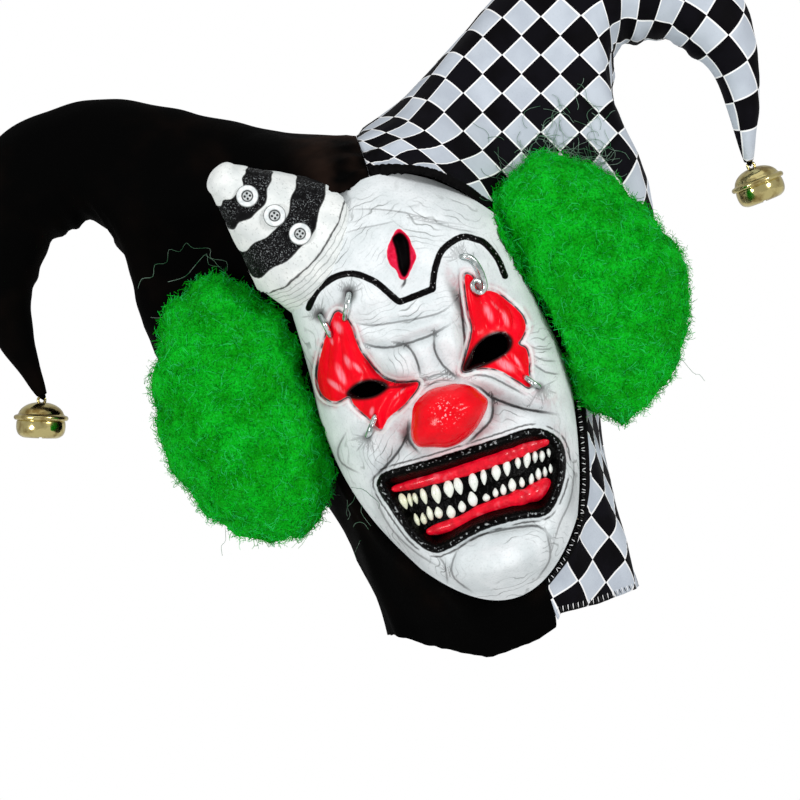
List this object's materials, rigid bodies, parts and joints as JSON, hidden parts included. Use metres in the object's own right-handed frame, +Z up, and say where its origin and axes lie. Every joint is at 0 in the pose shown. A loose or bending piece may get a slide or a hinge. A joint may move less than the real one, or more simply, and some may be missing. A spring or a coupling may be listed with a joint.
{
  "type": "clown mask",
  "caption": "Evil clown mask: white latex face with red nose and eye paint, toothy black mouth, green hair tufts and a two-horned jester hood with bells.",
  "frame": {"origin": "seat on the crown of the head, under the middle seam of the hood", "axes": "+Z up the head, -Y out of the face, +X to the viewer's right"},
  "size_m": [0.4008, 0.23, 0.3176],
  "materials": {
    "hood_black": "plain black stretch cloth with a faint sheen",
    "hood_check": "printed black and light grey check",
    "face": "painted latex, white with red and black, grey in the creases",
    "nose": "glossy pebbled red",
    "gum": "glossy red",
    "teeth": "ivory paint, satin",
    "cone_hat": "painted latex in black and white bands",
    "button": "white satin",
    "pin": "bright wire",
    "bell": "polished",
    "hair": "frizzy synthetic fibre"
  },
  "bodies": {
    "root": {"hood_black": "hood_black", "hood_check": "hood_check", "face": "face", "nose": "nose", "upper_gum": "gum", "lower_gum": "gum", "upper_teeth": "teeth", "lower_teeth": "teeth", "cone_hat": "cone_hat", "hat_button_1": "button", "hat_button_2": "button", "hat_button_3": "button", "brow_pin_outer": "pin", "brow_pin_inner": "pin", "cheek_pin_left": "pin", "cheek_pin_right": "pin", "brow_hook": "pin", "bell_left": "bell", "bell_right": "bell", "hair_left": "hair", "hair_right": "hair"}
  },
  "joints": []
}
